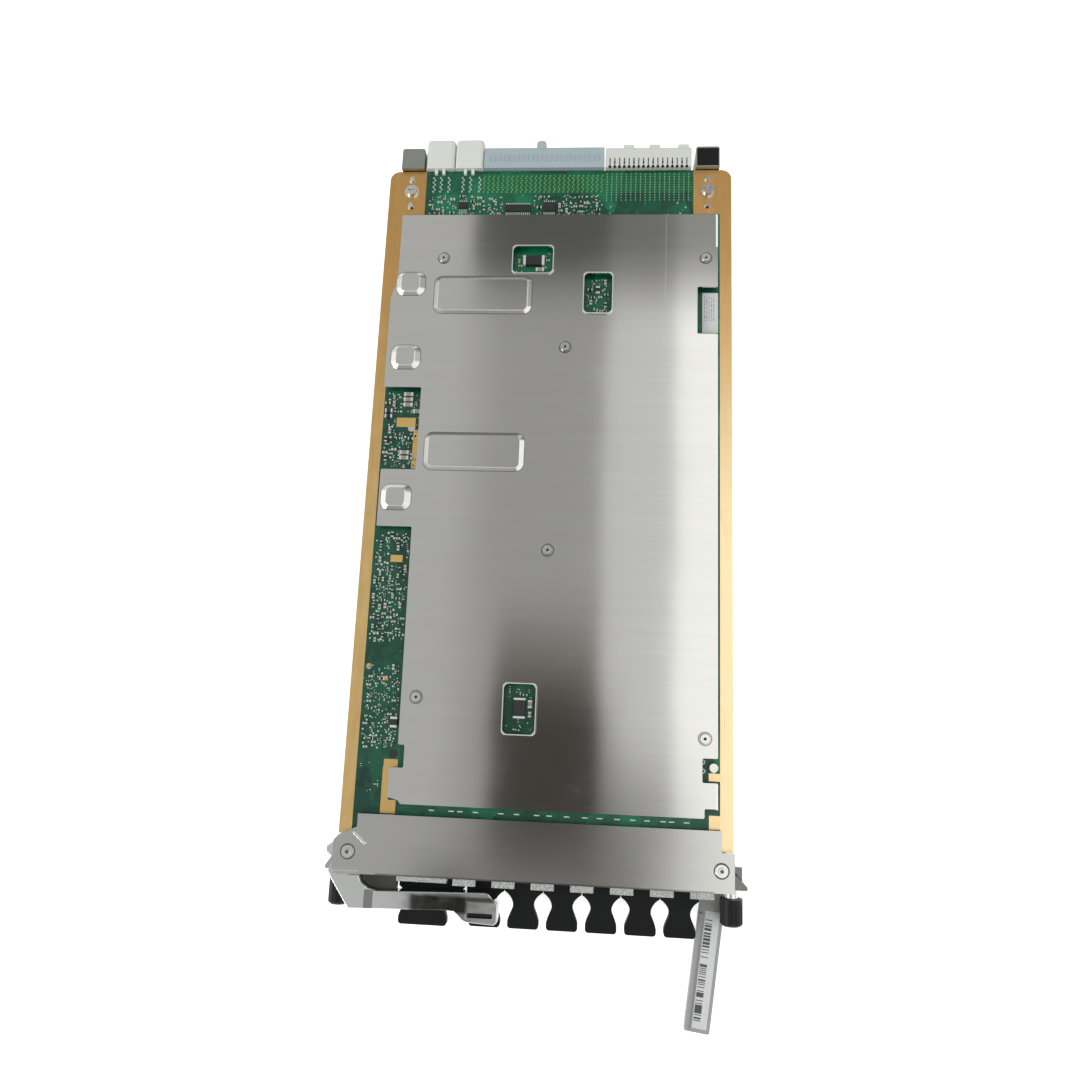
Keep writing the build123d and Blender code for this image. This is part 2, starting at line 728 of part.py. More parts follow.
def dust_plug(centre_x, body_width, collar_width, waist, tip_width, reach, extra=0.0):
    """Rubber plug: ribbed body in the port, collar on the face and a flat waisted pull tab."""
    body_height = cage_height - 2 * cage_wall - 2 * plug_clearance
    collar_back = panel_y - 0.2 - 0.1
    collar_front = collar_back - plug_collar
    half = collar_width / 2
    far = half + extra
    waist_y = collar_front - waist_drop
    tip_y = panel_y - reach
    with BuildPart() as plug:
        with BuildSketch(front_plane(collar_back)):
            with Locations((centre_x, port_centre_z)):
                RectangleRounded(body_width - 2 * plug_clearance, body_height, 0.8)
        extrude(amount=-plug_depth)
        with BuildSketch(Plane.XY.offset(port_centre_z - plug_handle_thickness / 2)) as tab:
            with BuildLine():
                Line((centre_x - half, collar_back), (centre_x + far, collar_back))
                Line((centre_x + far, collar_back), (centre_x + far, collar_front + 1.0))
                Spline(
                    (centre_x + far, collar_front + 1.0),
                    (centre_x + waist / 2, waist_y),
                    (centre_x + tip_width / 2, tip_y + tip_drop),
                    tangents=[(-0.9, -0.5), (0.25, -1)],
                )
                Line((centre_x + tip_width / 2, tip_y + tip_drop), (centre_x + tip_width / 2, tip_y))
                Line((centre_x + tip_width / 2, tip_y), (centre_x - tip_width / 2, tip_y))
                Line((centre_x - tip_width / 2, tip_y), (centre_x - tip_width / 2, tip_y + tip_drop))
                Spline(
                    (centre_x - tip_width / 2, tip_y + tip_drop),
                    (centre_x - waist / 2, waist_y),
                    (centre_x - half, collar_front + 1.0),
                    tangents=[(0.25, 1), (-0.9, 0.5)],
                )
                Line((centre_x - half, collar_front + 1.0), (centre_x - half, collar_back))
            make_face()
            fillet(tab.vertices().group_by(Axis.Y)[0], radius=1.2)
        extrude(amount=plug_handle_thickness)
        with BuildSketch(front_plane(collar_back)):
            with Locations((centre_x + extra / 2, port_centre_z)):
                RectangleRounded(collar_width + extra, cage_height - 1.0, 0.8)
        extrude(amount=flange_thickness)
    return plug


small_bay = (small_cage_width - (port_count + 1) * cage_wall) / port_count
for place in range(port_count):
    plug_x = port_row_x + (place - (port_count - 1) / 2) * (small_bay + cage_wall)
    plug = dust_plug(plug_x, small_bay, port_pitch - gap, plug_waist, plug_tip, plug_reach)
    finish(plug, "small_port_plug_" + str(place + 1))
wide_bay = wide_cage_width - 2 * cage_wall
finish(
    dust_plug(
        wide_port_x, wide_bay, wide_bay, wide_plug_waist, wide_plug_tip, wide_plug_reach, port_spacing
    ),
    "wide_port_plug",
)

# Clear light pipes that stand in the panel's windows, ending at the board's front edge
with BuildPart() as light_pipes:
    with BuildSketch(front_plane(board_front - gap)):
        for place in range(port_count + 1):
            with Locations((first_port_x + (place - 0.5) * port_pitch, pipe_centre_z)):
                RectangleRounded(pipe_width, pipe_height, 0.4)
    extrude(amount=pipe_reach + board_front - panel_y - gap)
finish(light_pipes, "light_pipes")

with BuildPart() as wide_light_bar:
    with BuildSketch(front_plane(board_front - gap)):
        with Locations((wide_port_x, pipe_centre_z)):
            RectangleRounded(wide_cage_width - 1, pipe_height, 0.4)
    extrude(amount=pipe_reach - 0.6 + board_front - panel_y - gap)
finish(wide_light_bar, "wide_light_bar")

# Guide modules: cast blocks with a bore for the backplane's guide pin
guide_height = 12.4
guide_bottom = board_bottom - gap / 3 - guide_height
guide_seat = panel_y + 264.0


def guide_module(x):
    """Block under the board's rear corner, with a step over the edge and a guide bore."""
    with BuildPart() as module:
        with BuildSketch(Plane.YZ.offset(x - guide_width / 2)) as side:
            with BuildLine():
                Polyline(
                    (guide_seat, guide_bottom),
                    (guide_seat, board_bottom),
                    (board_rear + gap, board_bottom),
                    (board_rear + gap, connector_top),
                    (connector_rear, connector_top),
                    (connector_rear, guide_bottom),
                    close=True,
                )
            make_face()
        extrude(amount=guide_width)
        bore_z = (guide_bottom + board_bottom) / 2
        with BuildSketch(front_plane(connector_rear)):
            with Locations((x, bore_z)):
                Circle(guide_bore_radius)
        extrude(amount=guide_bore_depth, mode=Mode.SUBTRACT)
        mouth = module.edges().filter_by(GeomType.CIRCLE).group_by(Axis.Y)[-1]
        chamfer(mouth, length=0.8)
        rear_edges = module.edges().filter_by(Axis.Z).group_by(Axis.Y)[-1]
        fillet(rear_edges, radius=1.0)
    return module


finish(guide_module(-guide_x), "guide_module_left")
finish(guide_module(guide_x), "guide_module_right")
fastener_x = board_edge - 9.7
fastener_y = panel_y + 275.7
peg_offsets = [5.6, -6.6]
washer_radius = 3.1
head_radius = 2.5
peg_radius = 1.6
washer_thickness = 0.5
head_height = 1.5
recess_depth = 0.8
with BuildPart() as guide_fasteners:
    for x in (-fastener_x, fastener_x):
        with BuildSketch(Plane.XY.offset(board_top)):
            with Locations((x, fastener_y)):
                Circle(washer_radius)
        extrude(amount=washer_thickness)
        with BuildSketch(Plane.XY.offset(board_top + washer_thickness)):
            with Locations((x, fastener_y)):
                Circle(head_radius)
        extrude(amount=head_height, taper=15)
        with BuildSketch(Plane.XY.offset(board_top + washer_thickness + head_height)):
            with Locations((x, fastener_y)):
                Rectangle(2.6, 0.6)
                Rectangle(0.6, 2.6)
        extrude(amount=-recess_depth, mode=Mode.SUBTRACT)
        with BuildSketch(Plane.XY.offset(board_top)):
            for offset in peg_offsets:
                with Locations((x, fastener_y + offset)):
                    Circle(peg_radius)
        extrude(amount=1.1, taper=25)
finish(guide_fasteners, "guide_fasteners")


def rear_housing(x, width, rear, top):
    """Connector body hung under the board, with a step over the board's rear edge."""
    with BuildPart() as housing:
        with BuildSketch(Plane.YZ.offset(x - width / 2)):
            with BuildLine():
                Polyline(
                    (connector_seat, connector_bottom),
                    (connector_seat, board_bottom),
                    (board_rear + gap, board_bottom),
                    (board_rear + gap, top),
                    (rear, top),
                    (rear, connector_bottom),
                    close=True,
                )
            make_face()
        extrude(amount=width)
    return housing.part


housing_middle = (connector_bottom + board_bottom) / 2
for number, x in enumerate(power_x):
    with BuildPart() as power:
        add(rear_housing(x, power_width, power_rear, connector_top))
        top_edges = power.edges().filter_by(Axis.Z).group_by(Axis.Y)[-1]
        fillet(top_edges, radius=1.8)
        rear_top = power.edges().filter_by(Axis.X).group_by(Axis.Y)[-1]
        fillet(rear_top, radius=1.5)
        with BuildSketch(front_plane(power_rear)):
            with Locations((x, housing_middle)):
                with GridLocations(3.4, 1, 3, 1):
                    Rectangle(1.6, 7.0)
        extrude(amount=6, mode=Mode.SUBTRACT)
        with BuildSketch(Plane.XY.offset(board_top)):
            with Locations((x - 1.6, board_rear - 0.9), (x + 1.6, board_rear - 0.9)):
                Rectangle(1.2, 2.0)
        extrude(amount=1.2)
        with BuildSketch(Plane.XY.offset(board_top)):
            with Locations((x - 1.6, board_rear + gap), (x + 1.6, board_rear + gap)):
                Rectangle(1.2, 1.0)
        extrude(amount=1.2)
    finish(power, "power_connector_" + str(number + 1))

signal_width = signal_right - signal_left
signal_x = (signal_left + signal_right) / 2
rib_count = 24
with BuildPart() as signal_connector:
    add(rear_housing(signal_x, signal_width, connector_rear, connector_top))
    with BuildSketch(Plane.XY.offset(connector_top - 3)):
        with Locations((signal_x - 1.2, connector_rear + 1.2)):
            RectangleRounded(4.0, 3.8, 1.2)
    extrude(amount=3.2)
    with BuildSketch(Plane.XY.offset(connector_top)):
        with Locations((signal_x, (board_rear + connector_rear) / 2)):
            with GridLocations(contact_pitch, 1, rib_count, 1):
                Rectangle(0.5, 3.0)
    extrude(amount=0.25)
    with BuildSketch(front_plane(connector_rear)):
        with Locations((signal_x, housing_middle + 1)):
            with GridLocations(contact_pitch, 1, rib_count, 1):
                Rectangle(0.8, 11.0)
    extrude(amount=4, mode=Mode.SUBTRACT)
finish(signal_connector, "signal_connector")

wafer_width = wafer_right - wafer_left
wafer_x = (wafer_left + wafer_right) / 2
nub_spots = [29.4, 40.2, 52.2]
with BuildPart() as wafer_connector:
    add(rear_housing(wafer_x, wafer_width, connector_rear - 0.4, connector_top))
    with BuildSketch(Plane.XY.offset(connector_top - 2)):
        for x in nub_spots:
            with Locations((x, connector_rear)):
                Rectangle(4.4, 1.8)
    extrude(amount=2.3)
    with BuildSketch(Plane.XY.offset(connector_top)):
        with Locations((wafer_x, board_rear + gap + 2.2)):
            with GridLocations(contact_pitch, 1, wafer_count - 1, 1):
                Rectangle(0.5, 4.4)
    extrude(amount=-1.6, mode=Mode.SUBTRACT)
    with BuildSketch(front_plane(connector_rear - 0.4)):
        with Locations((wafer_x, housing_middle + 1)):
            with GridLocations(contact_pitch, 1, wafer_count, 1):
                Rectangle(0.8, 11.0)
    extrude(amount=4, mode=Mode.SUBTRACT)
finish(wafer_connector, "wafer_connector")

# Finned heat sinks over the processors, each held by four screws
for name, x, y, width, depth in sinks:
    with BuildPart() as sink:
        with BuildSketch(Plane.XY.offset(sink_top)):
            with Locations((x, y)):
                RectangleRounded(width, depth, 2.0)
        extrude(amount=-sink_base)
        fins = int((depth - fin_thickness) / fin_pitch) + 1
        with BuildSketch(Plane.XY.offset(sink_top - sink_base)):
            with Locations((x, y)):
                with GridLocations(1, fin_pitch, 1, fins):
                    Rectangle(width, fin_thickness)
                with GridLocations(width - sink_corner, depth - sink_corner, 2, 2):
                    Rectangle(sink_corner + 0.1, sink_corner + 0.1, mode=Mode.SUBTRACT)
        extrude(amount=-(sink_top - sink_base - panel_bottom))
        with Locations((x, y, sink_top)):
            with GridLocations(width - sink_corner, depth - sink_corner, 2, 2):
                Hole(radius=sink_screw_radius + running_clearance)
    finish(sink, name)

with BuildPart() as heat_sink_screws:
    for name, x, y, width, depth in sinks:
        with BuildSketch(Plane.XY.offset(board_top)):
            with Locations((x, y)):
                with GridLocations(width - sink_corner, depth - sink_corner, 2, 2):
                    Circle(sink_screw_radius)
        extrude(amount=-(board_top - sink_top + sink_base))
        with BuildSketch(Plane.XY.offset(sink_top - sink_base)):
            with Locations((x, y)):
                with GridLocations(width - sink_corner, depth - sink_corner, 2, 2):
                    Circle(sink_head_radius)
        extrude(amount=-2.2)
finish(heat_sink_screws, "heat_sink_screws")

# Processor packages between the board and the heat sinks
packages = [(-30.0, 203.0, 34.0), (22.0, 203.0, 34.0), (14.0, 106.0, 37.5)]
with BuildPart() as processors:
    with BuildSketch(Plane.XY.offset(board_bottom)):
        for x, y, side in packages:
            with Locations((x, panel_y + y)):
                Rectangle(side, side)
    extrude(amount=-1.4)
    with BuildSketch(Plane.XY.offset(board_bottom - 1.4)):
        for x, y, side in packages:
            with Locations((x, panel_y + y)):
                RectangleRounded(side - 5, side - 5, 1.5)
    extrude(amount=-(board_bottom - 1.4 - sink_top))
finish(processors, "processors")

# Memory packages, power modules, inductors and capacitors on the component side
with BuildPart() as memory_packages:
    with BuildSketch(Plane.XY.offset(board_bottom)):
        with Locations((-6.0, panel_y + 152.0)):
            with GridLocations(14.0, 14.0, 6, 1):
                Rectangle(9.0, 12.5)
        with Locations((-46.0, panel_y + 84.0)):
            with GridLocations(1, 16.0, 1, 2):
                Rectangle(12.5, 9.0)
    extrude(amount=-1.2)
finish(memory_packages, "memory_packages")

with BuildPart() as power_modules:
    with BuildSketch(Plane.XY.offset(board_bottom)):
        with Locations((-48.0, panel_y + 120.0)):
            RectangleRounded(23.0, 33.0, 1.0)
        with Locations((22.0, panel_y + 255.0)):
            RectangleRounded(34.0, 14.0, 1.0)
    extrude(amount=-9.6)
finish(power_modules, "power_modules")

with BuildPart() as inductors:
    with BuildSketch(Plane.XY.offset(board_bottom)):
        with Locations((60.0, panel_y + 168.0)):
            with GridLocations(1, 14.0, 1, 4):
                RectangleRounded(10.0, 10.0, 1.5)
    extrude(amount=-5.2)
finish(inductors, "inductors")

with BuildPart() as capacitors:
    with BuildSketch(Plane.XY.offset(board_bottom)):
        with Locations((-30.0, panel_y + 254.0)):
            with GridLocations(11.0, 1, 5, 1):
                Circle(4.0)
    extrude(amount=-10.0)
    chamfer(capacitors.edges().group_by(Axis.Z)[0], length=0.6)
finish(capacitors, "capacitors")
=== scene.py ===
import bpy
import bmesh
import json
import math
import random
from mathutils import Matrix, Vector


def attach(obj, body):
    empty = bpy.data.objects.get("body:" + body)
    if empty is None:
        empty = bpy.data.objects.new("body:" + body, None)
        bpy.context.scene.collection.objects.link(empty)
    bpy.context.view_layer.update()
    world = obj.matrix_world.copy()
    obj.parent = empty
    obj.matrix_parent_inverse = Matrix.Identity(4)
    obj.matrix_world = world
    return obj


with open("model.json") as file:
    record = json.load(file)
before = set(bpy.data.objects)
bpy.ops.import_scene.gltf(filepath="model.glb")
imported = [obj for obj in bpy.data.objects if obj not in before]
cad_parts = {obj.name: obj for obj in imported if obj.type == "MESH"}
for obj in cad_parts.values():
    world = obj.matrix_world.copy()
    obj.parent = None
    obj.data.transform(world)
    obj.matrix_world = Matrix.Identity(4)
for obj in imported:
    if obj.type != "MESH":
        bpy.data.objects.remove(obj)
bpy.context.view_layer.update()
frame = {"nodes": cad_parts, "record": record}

# Places are in millimetres: x from the middle, y from the panel's front face, z from the board's top.
PANEL = -0.1234
TOP = 0.0175
COVER_TOP = 3.5
FLANGE_TOP = 2.5
BACKPLANE_PITCH = 2.0
BARE_EDGE = 67.4
REAR_PLATE_X = 56.5
REAR_PLATE_Y = 265.2
FILM = 0.06
HOUSING_TOP = 2.0


def at(x, y, z=0.0):
    return Vector((x / 1000, PANEL + y / 1000, TOP + z / 1000))


# Shader maths

class Value:
    """A shader socket that takes part in ordinary arithmetic."""

    def __init__(self, graph, socket):
        self.graph = graph
        self.socket = socket

    def _do(self, operation, *others):
        made = self.graph.tree.nodes.new("ShaderNodeMath")
        made.operation = operation
        for place, value in enumerate((self,) + others):
            self.graph.feed(made.inputs[place], value)
        return Value(self.graph, made.outputs[0])

    def _swapped(self, operation, other):
        made = self.graph.tree.nodes.new("ShaderNodeMath")
        made.operation = operation
        self.graph.feed(made.inputs[0], other)
        self.graph.feed(made.inputs[1], self)
        return Value(self.graph, made.outputs[0])

    def __add__(self, other):
        return self._do("ADD", other)

    def __radd__(self, other):
        return self._swapped("ADD", other)

    def __sub__(self, other):
        return self._do("SUBTRACT", other)

    def __rsub__(self, other):
        return self._swapped("SUBTRACT", other)

    def __mul__(self, other):
        return self._do("MULTIPLY", other)

    def __rmul__(self, other):
        return self._swapped("MULTIPLY", other)

    def __truediv__(self, other):
        return self._do("DIVIDE", other)

    def __abs__(self):
        return self._do("ABSOLUTE")

    def fract(self):
        return self._do("FRACT")

    def floor(self):
        return self._do("FLOOR")

    def most(self, other):
        return self._do("MAXIMUM", other)

    def least(self, other):
        return self._do("MINIMUM", other)

    def rise(self, start, end):
        """0 below start, 1 above end, smooth between."""
        made = self.graph.node("ShaderNodeMapRange", {"interpolation_type": "SMOOTHSTEP"},
                               {"Value": self, "From Min": start, "From Max": end})
        return Value(self.graph, made.outputs[0])

    def within(self, start, end, soft=0.05):
        """1 from start to end, 0 outside."""
        return self.rise(start - soft, start + soft) * (1 - self.rise(end - soft, end + soft))


def greatest(values):
    whole = values[0]
    for value in values[1:]:
        whole = whole.most(value)
    return whole


class Graph:
    """A node tree under construction."""

    def __init__(self, tree):
        self.tree = tree
        tree.nodes.clear()

    def feed(self, socket, value):
        if isinstance(value, Value):
            self.tree.links.new(value.socket, socket)
        else:
            socket.default_value = value

    def node(self, kind, settings=None, sockets=None):
        made = self.tree.nodes.new(kind)
        for name, value in (settings or {}).items():
            setattr(made, name, value)
        for name, value in (sockets or {}).items():
            self.feed(made.inputs[name], value)
        return made

    def get(self, kind, output, settings=None, sockets=None):
        return Value(self, self.node(kind, settings, sockets).outputs[output])

    def place(self):
        """x, y, z of the shaded point, in millimetres."""
        spot = self.get("ShaderNodeTexCoord", "Object")
        parts = self.node("ShaderNodeSeparateXYZ", None, {"Vector": spot})
        x, y, z = [Value(self, parts.outputs[i]) for i in range(3)]
        return x * 1000, y * 1000 - PANEL * 1000, z * 1000 - TOP * 1000

    def vector(self, x, y, z=0.0):
        return self.get("ShaderNodeCombineXYZ", "Vector", None, {"X": x, "Y": y, "Z": z})

    def upward(self):
        """1 where the surface faces straight up or down, 0 where it stands."""
        normal = self.get("ShaderNodeNewGeometry", "True Normal")
        parts = self.node("ShaderNodeSeparateXYZ", None, {"Vector": normal})
        return abs(Value(self, parts.outputs[2]))

    def noise(self, vector, scale=1.0, detail=2.0, rough=0.5):
        return self.get("ShaderNodeTexNoise", "Fac", None,
                        {"Vector": vector, "Scale": scale, "Detail": detail, "Roughness": rough})

    def cells(self, vector, scale=1.0, output="Distance", feature="F1", randomness=1.0):
        return self.get("ShaderNodeTexVoronoi", output, {"feature": feature},
                        {"Vector": vector, "Scale": scale, "Randomness": randomness})

    def blend(self, share, first, second):
        made = self.node("ShaderNodeMix", {"data_type": "RGBA"}, {0: share, 6: first, 7: second})
        return Value(self, made.outputs[2])

    def bump(self, height, strength, distance):
        return self.get("ShaderNodeBump", "Normal", None,
                        {"Height": height, "Strength": strength, "Distance": distance})

    def rays(self, *kinds):
        """1 for rays of any of the given kinds."""
        path = self.node("ShaderNodeLightPath")
        return greatest([Value(self, path.outputs["Is " + kind + " Ray"]) for kind in kinds])


def rgb(red, green, blue):
    """Linear colour from an 8 bit display colour."""
    def line(v):
        v = v / 255
        return v / 12.92 if v < 0.04045 else ((v + 0.055) / 1.055) ** 2.4
    return (line(red), line(green), line(blue), 1.0)


def material(name):
    made = bpy.data.materials.new(name)
    made.use_nodes = True
    graph = Graph(made.node_tree)
    shader = graph.node("ShaderNodeBsdfPrincipled")
    end = graph.node("ShaderNodeOutputMaterial")
    made.node_tree.links.new(shader.outputs[0], end.inputs[0])
    return made, graph, shader


def shades(colour, darker, lighter):
    """A dark and a light form of a colour."""
    return [tuple(min(1, c * factor) for c in colour[:3]) + (1,) for factor in (darker, lighter)]


def solid(name, colour, rough=0.5, metal=0.0, vary=0.12, grain=0.0, grain_size=0.4, shine=0.5):
    """Moulded, painted or cast stuff: slight tone and gloss changes, and a fine grain."""
    made, graph, shader = material(name)
    x, y, z = graph.place()
    spot = graph.vector(x, y, z)
    cloud = graph.noise(spot, 0.09, 3)
    fine = graph.noise(spot, 1.0 / grain_size, 2)
    dark, light = shades(colour, 1 - vary, 1 + vary)
    graph.feed(shader.inputs["Base Color"], graph.blend(cloud, dark, light))
    graph.feed(shader.inputs["Roughness"], rough + (cloud - 0.5) * 0.15 + (fine - 0.5) * 0.08)
    shader.inputs["Metallic"].default_value = metal
    shader.inputs["Specular IOR Level"].default_value = shine
    if grain:
        graph.feed(shader.inputs["Normal"], graph.bump(fine, grain, 0.0001))
    return made


def brushed(name, colour, rough=0.2, scratch=0.0, marks=None):
    """Sheet metal with rolled-in streaks along X, smudges, slight waves and a few scratches; marks, where
    given, add painted shade and painted highlights.
    """
    made, graph, shader = material(name)
    x, y, z = graph.place()
    lines = graph.noise(graph.vector(x * 0.01, y * 1.6 + z * 1.6), 1.0, 2, 0.6)
    wide = graph.noise(graph.vector(x * 0.006, y * 0.25 + z * 0.25), 1.0, 2)
    smudge = graph.noise(graph.vector(x, y, z), 0.035, 4, 0.6)
    share = (lines - 0.5) * 0.5 + (wide - 0.5) * 0.6 + 0.5
    dark, light = shades(colour, 0.93, 1.05)
    tone = graph.blend(share, dark, light)
    gloss = rough + (lines - 0.5) * 0.02 + smudge.rise(0.5, 0.75) * 0.02
    gloss = gloss + (1 - graph.upward().rise(0.9, 0.99)) * 0.12
    if scratch:
        line = graph.cells(graph.vector(x * 0.02, y * 0.16, 0), 1.0, "Distance", "DISTANCE_TO_EDGE")
        cut = (1 - line.rise(0.0, 0.004)) * smudge.rise(0.52, 0.6)
        gloss = gloss + cut * scratch * 0.3
    if marks:
        # Painted shade darkens the tone; painted highlights whiten it and take away its metal
        shade, shine = marks(x, y, z)
        tone = graph.blend(shade, tone, rgb(44, 44, 42))
        tone = graph.blend(shine, tone, rgb(252, 252, 250))
        gloss = gloss + shine * 0.4
        graph.feed(shader.inputs["Metallic"], 1 - shine * 0.9)
    else:
        shader.inputs["Metallic"].default_value = 1.0
    graph.feed(shader.inputs["Base Color"], tone)
    graph.feed(shader.inputs["Roughness"], gloss)
    wave = graph.noise(graph.vector(x, y, z), 0.02, 1)
    graph.feed(shader.inputs["Normal"], graph.bump(wave, 0.6, 0.0002))
    return made


def board_material():
    """Green solder mask over copper, bare gold along the sides, vias, traces and laminate edges."""
    made, graph, shader = material("board_green")
    x, y, z = graph.place()
    flat = graph.vector(x, y, 0)
    # Copper areas and the gaps between them
    area = graph.cells(flat, 0.055, "Color")
    tone = graph.get("ShaderNodeSeparateColor", "Red", None, {"Color": area})
    gap = 1 - graph.cells(flat, 0.055, "Distance", "DISTANCE_TO_EDGE").rise(0.0, 0.018)
    # Traces run in bundles at right angles
    bundle = graph.noise(flat, 0.11, 1)
    traces_per_mm = 1.25
    lengthwise = 1 - abs((x * traces_per_mm).fract() - 0.5).rise(0.12, 0.2)
    crosswise = 1 - abs((y * traces_per_mm).fract() - 0.5).rise(0.12, 0.2)
    trace = (lengthwise * bundle.rise(0.52, 0.54)).most(crosswise * (1 - bundle.rise(0.42, 0.44)))
    # Vias with a pale ring and a dark hole
    via = graph.cells(flat, 0.62, "Distance", "F1", 0.85)
    pick = graph.get("ShaderNodeSeparateColor", "Blue", None,
                     {"Color": graph.cells(flat, 0.62, "Color", "F1", 0.85)})
    crowd = graph.noise(flat, 0.08, 2).rise(0.42, 0.55)
    chosen = pick.rise(0.5, 0.52) * crowd
    ring = (1 - via.rise(0.17, 0.2)) * chosen
    hole = (1 - via.rise(0.07, 0.09)) * chosen
    green = graph.blend(tone.rise(0.3, 0.7), rgb(2, 72, 50), rgb(12, 112, 78))
    strip = 1 - x.rise(-52.8, -52.4)
    green = graph.blend((crowd * 0.55).most(strip * 0.8), green, rgb(4, 56, 45))
    contacts = y.within(275.0, 284.2, 0.3) * x.within(-32.6, 56.0, 0.3)
    green = graph.blend(contacts * 0.7, green, rgb(14, 106, 54))
    green = graph.blend(gap * 0.6, green, rgb(0, 46, 32))
    # A round dark patch near the front left corner
    patch = (x + 65.0) * (x + 65.0) + (y - 34.0) * (y - 34.0)
    green = graph.blend((1 - patch.rise(13.0, 15.5)) * 0.75, green, rgb(0, 40, 32))
    green = graph.blend(trace * 0.35, green, rgb(24, 128, 88))
    green = graph.blend(ring, green, rgb(170, 196, 176))
    green = graph.blend(hole, green, rgb(12, 30, 22))
    # Bare gold: edge strips, rear corners
    sides = abs(x).rise(BARE_EDGE - 0.05, BARE_EDGE + 0.05)
    rear = y.rise(REAR_PLATE_Y - 0.05, REAR_PLATE_Y + 0.05)
    left_rear = (1 - x.rise(-REAR_PLATE_X - 0.05, -REAR_PLATE_X + 0.05)) * rear
    right_rear = x.rise(REAR_PLATE_X + 0.05, REAR_PLATE_X + 0.15) * rear
    left_wide = (1 - x.rise(-64.2, -64.0)) * y.rise(187.6, 187.8)
    bare = greatest([sides, left_rear, right_rear, left_wide])
    rub = graph.noise(graph.vector(x * 0.4, y * 0.05, z), 1.0, 4, 0.6)
    # The same gold is painted lighter towards the right and darker towards the rear: painted light and
    # painted shade
    left_plate = graph.blend(rub, rgb(214, 178, 112), rgb(240, 206, 146))
    right_plate = graph.blend(rub, rgb(250, 222, 164), rgb(255, 240, 200))
    rear_plate = graph.blend(rub, rgb(208, 161, 96), rgb(226, 181, 115))
    plate = graph.blend(x.rise(20.0, 60.0), left_plate, right_plate)
    plate = graph.blend(y.rise(110.0, 262.0), plate, rear_plate)
    colour = graph.blend(bare, green, plate)
    # The cut edge shows the laminate
    edge = 1 - graph.upward().rise(0.4, 0.6)
    layers = (z * 2.6).fract().rise(0.35, 0.65)
    laminate = graph.blend(layers, rgb(30, 78, 44), rgb(92, 104, 52))
    colour = graph.blend(edge, colour, laminate)
    metal = (bare * (1 - edge)).most(ring * 0.8 * (1 - hole))
    graph.feed(shader.inputs["Base Color"], colour)
    graph.feed(shader.inputs["Metallic"], metal)
    graph.feed(shader.inputs["Roughness"], 0.3 + bare * 0.02 + edge * 0.4 + (rub - 0.5) * 0.1)
    height = trace * 0.5 + ring * 0.8 + (1 - gap) * 0.4 + graph.noise(flat, 2.2, 2) * 0.25
    graph.feed(shader.inputs["Normal"], graph.bump(height, 0.35, 0.00008))
    return made


def label_material(name, bars):
    """Paper label with generic bars, no words."""
    made, graph, shader = material(name)
    x, y, z = graph.place()
    paper = graph.noise(graph.vector(x, y, z), 0.8, 3)
    colour = graph.blend(paper, rgb(204, 208, 209), rgb(218, 222, 222))
    graph.feed(shader.inputs["Base Color"], bars(graph, x, y, colour))
    graph.feed(shader.inputs["Roughness"], 0.42 + (paper - 0.5) * 0.2)
    return made


# The open right lever: its turn from the Y axis and a point on its middle line
TILT = math.radians(7.2)
LEVER = (66.4, -6.0)


def lever_bars(graph, x, y, colour):
    """Dark bars of random widths across the lever, in two blocks."""
    across = (x - LEVER[0]) * math.cos(TILT) - (y - LEVER[1]) * math.sin(TILT)
    along = (x - LEVER[0]) * math.sin(TILT) + (y - LEVER[1]) * math.cos(TILT)
    bars_per_mm = 3.1
    pick = graph.get("ShaderNodeTexWhiteNoise", "Value", {"noise_dimensions": "1D"},
                     {"W": (along * bars_per_mm).floor()})
    area = along.within(-41.5, -21.6).most(along.within(-19.8, -6.0)) * across.within(-1.7, 0.9)
    return graph.blend(pick.rise(0.46, 0.48) * area * 0.92, colour, rgb(36, 38, 38))


def board_bars(graph, x, y, colour):
    """Broken grey lines along the label."""
    lines_per_mm = 1.1
    line = (x * lines_per_mm).fract().within(0.3, 0.62, 0.08)
    line = line * y.within(217.5, 228.3) * x.within(61.0, 65.4)
    broken = graph.noise(graph.vector((x * lines_per_mm).floor() * 7, y * 1.4), 1.0, 0).rise(0.42, 0.5)
    return graph.blend(line * broken * 0.75, colour, rgb(96, 104, 106))


# Windows of the cover, as middle and size, and the points of its screws
WINDOWS = ((-9.0, 242.6, 16.4, 12.0), (18.1, 227.9, 11.4, 17.4), (-6.8, 61.1, 12.0, 18.4))
SCREWS = ((-46.1, 243.2), (61.4, 243.4), (5.5, 204.4), (1.5, 121.3), (-45.8, 64.0), (61.5, 53.1))
# Pressed pads and domes of the cover: middle, size at the foot and size at the top
PADS = (
    (-59.1, 231.6, 12.2, 10.4, 7.4, 7.2), (-59.1, 199.4, 12.2, 10.4, 7.4, 7.2),
    (-59.0, 140.9, 12.2, 10.4, 7.4, 7.0), (-29.0, 226.8, 40.4, 16.6, 36.6, 13.4),
    (-29.1, 160.0, 40.0, 15.6, 36.2, 12.4),
)


def outline(x, y, middle_x, middle_y, wide, deep, corner, width):
    """1 on a line along a rounded rectangle."""
    over_x = (abs(x - middle_x) - (wide / 2 - corner)).most(0)
    over_y = (abs(y - middle_y) - (deep / 2 - corner)).most(0)
    away = over_x * over_x + over_y * over_y
    return away.within((corner - width) ** 2, (corner + width) ** 2, corner * width * 0.6)


